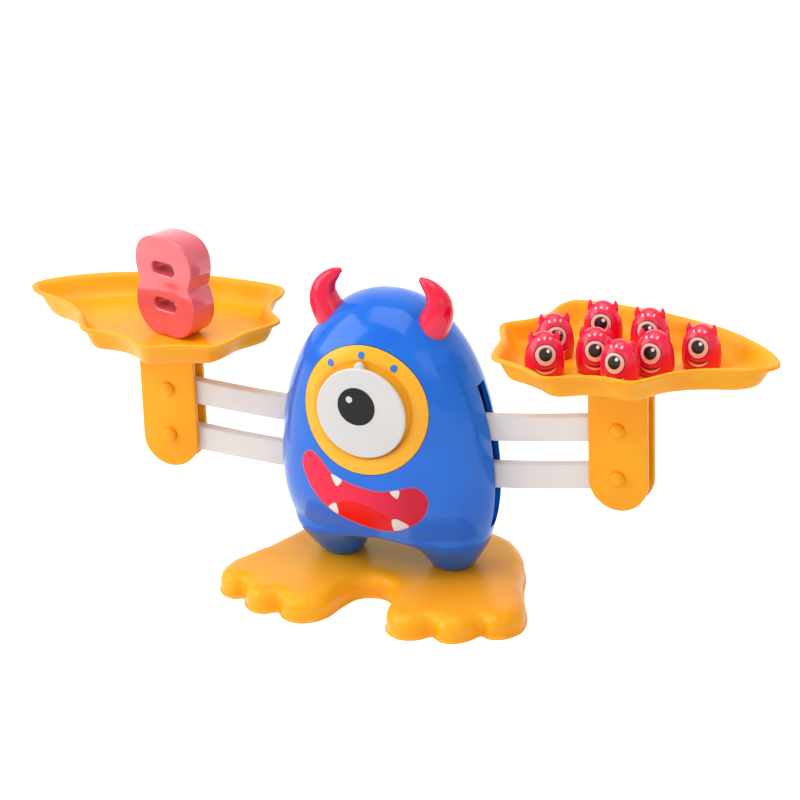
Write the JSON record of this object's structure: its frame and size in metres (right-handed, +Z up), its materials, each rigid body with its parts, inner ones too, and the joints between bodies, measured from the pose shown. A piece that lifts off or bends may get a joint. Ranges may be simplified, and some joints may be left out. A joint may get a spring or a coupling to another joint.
{
  "type": "number balance",
  "caption": "Number balance toy: a horned figure on a foot plate carries linked beams with level trays, a number block in one tray and counters in the other.",
  "frame": {"origin": "on the underside of the foot plate, under the middle of the body, in the plane of the beams", "axes": "+X along the beams to the pan that holds the counters, -Y towards the face, +Z up"},
  "size_m": [0.3995, 0.1151, 0.175],
  "materials": {
    "orange_plastic": "satin",
    "blue_plastic": "gloss",
    "yellow_plastic": "satin",
    "red_plastic": "gloss",
    "white_plastic": "satin",
    "black_plastic": "satin",
    "mouth_print": "gloss",
    "pink_plastic": "gloss",
    "counter_red": "gloss",
    "steel": "satin"
  },
  "bodies": {
    "stand": {"base_feet": "orange_plastic", "base_cover": "orange_plastic", "cover_screw_1": "steel", "cover_screw_2": "steel", "cover_screw_3": "steel", "cover_screw_4": "steel", "leg_screw_1": "steel", "leg_screw_2": "steel", "body_front_shell": "blue_plastic", "body_rear_shell": "blue_plastic", "shell_screw_1": "steel", "shell_screw_2": "steel", "shell_screw_3": "steel", "shell_screw_4": "steel", "eye_ring": "yellow_plastic", "index_dot_left": "blue_plastic", "index_dot_middle": "blue_plastic", "index_dot_right": "blue_plastic", "mouth_print": "mouth_print", "horn_left": "red_plastic", "horn_right": "red_plastic", "upper_bush_front": "white_plastic", "upper_bush_rear": "white_plastic", "lower_bush_front": "white_plastic", "lower_bush_rear": "white_plastic", "lower_pivot_pin": "steel"},
    "upper_beam": {"beam_upper": "white_plastic", "upper_shaft": "steel", "eye_disc": "white_plastic", "eye_pupil": "black_plastic", "eye_glint": "white_plastic", "eye_screw": "steel"},
    "lower_beam": {"beam_lower": "white_plastic"},
    "left_pan": {"pan_left": "orange_plastic", "stem_left_front": "orange_plastic", "stem_left_rear": "orange_plastic", "stem_left_upper_pin": "orange_plastic", "stem_left_lower_pin": "orange_plastic"},
    "right_pan": {"pan_right": "orange_plastic", "stem_right_front": "orange_plastic", "stem_right_rear": "orange_plastic", "stem_right_upper_pin": "orange_plastic", "stem_right_lower_pin": "orange_plastic"},
    "number_block": {"number_block_8": "pink_plastic"},
    "counter_a": {"counter_1": "counter_red"},
    "counter_b": {"counter_2": "counter_red"},
    "counter_c": {"counter_3": "counter_red"},
    "counter_d": {"counter_4": "counter_red"},
    "counter_e": {"counter_5": "counter_red"},
    "counter_f": {"counter_6": "counter_red"},
    "counter_g": {"counter_7": "counter_red"},
    "counter_h": {"counter_8": "counter_red"}
  },
  "joints": [
    {"name": "beam_tilt", "type": "hinge", "parent": "stand", "child": "upper_beam", "pos_m": [0, 0, 0.105], "axis": [0, -1, 0], "range_deg": [-14.4, 9.6]},
    {"name": "lower_beam_tilt", "type": "hinge", "parent": "stand", "child": "lower_beam", "pos_m": [0, 0, 0.08], "axis": [0, -1, 0], "range_deg": [-14.4, 9.6]},
    {"name": "left_pan_level", "type": "hinge", "parent": "upper_beam", "child": "left_pan", "pos_m": [-0.11948, 0, 0.09018], "axis": [0, -1, 0], "range_deg": [-9.6, 14.4]},
    {"name": "right_pan_level", "type": "hinge", "parent": "upper_beam", "child": "right_pan", "pos_m": [0.1203, 0, 0.10023], "axis": [0, -1, 0], "range_deg": [-9.6, 14.4]},
    {"name": "block_lift", "type": "slide", "parent": "left_pan", "child": "number_block", "axis": [0, 0, 1], "range_m": [0, 0.03]},
    {"name": "counter_a_lift", "type": "slide", "parent": "right_pan", "child": "counter_a", "axis": [0, 0, 1], "range_m": [0, 0.03]},
    {"name": "counter_b_lift", "type": "slide", "parent": "right_pan", "child": "counter_b", "axis": [0, 0, 1], "range_m": [0, 0.03]},
    {"name": "counter_c_lift", "type": "slide", "parent": "right_pan", "child": "counter_c", "axis": [0, 0, 1], "range_m": [0, 0.03]},
    {"name": "counter_d_lift", "type": "slide", "parent": "right_pan", "child": "counter_d", "axis": [0, 0, 1], "range_m": [0, 0.03]},
    {"name": "counter_e_lift", "type": "slide", "parent": "right_pan", "child": "counter_e", "axis": [0, 0, 1], "range_m": [0, 0.03]},
    {"name": "counter_f_lift", "type": "slide", "parent": "right_pan", "child": "counter_f", "axis": [0, 0, 1], "range_m": [0, 0.03]},
    {"name": "counter_g_lift", "type": "slide", "parent": "right_pan", "child": "counter_g", "axis": [0, 0, 1], "range_m": [0, 0.03]},
    {"name": "counter_h_lift", "type": "slide", "parent": "right_pan", "child": "counter_h", "axis": [0, 0, 1], "range_m": [0, 0.03]}
  ],
  "couplings": [
    {"joint": "lower_beam_tilt", "follows": "beam_tilt", "ratio": 1},
    {"joint": "left_pan_level", "follows": "beam_tilt", "ratio": -1},
    {"joint": "right_pan_level", "follows": "beam_tilt", "ratio": -1}
  ]
}
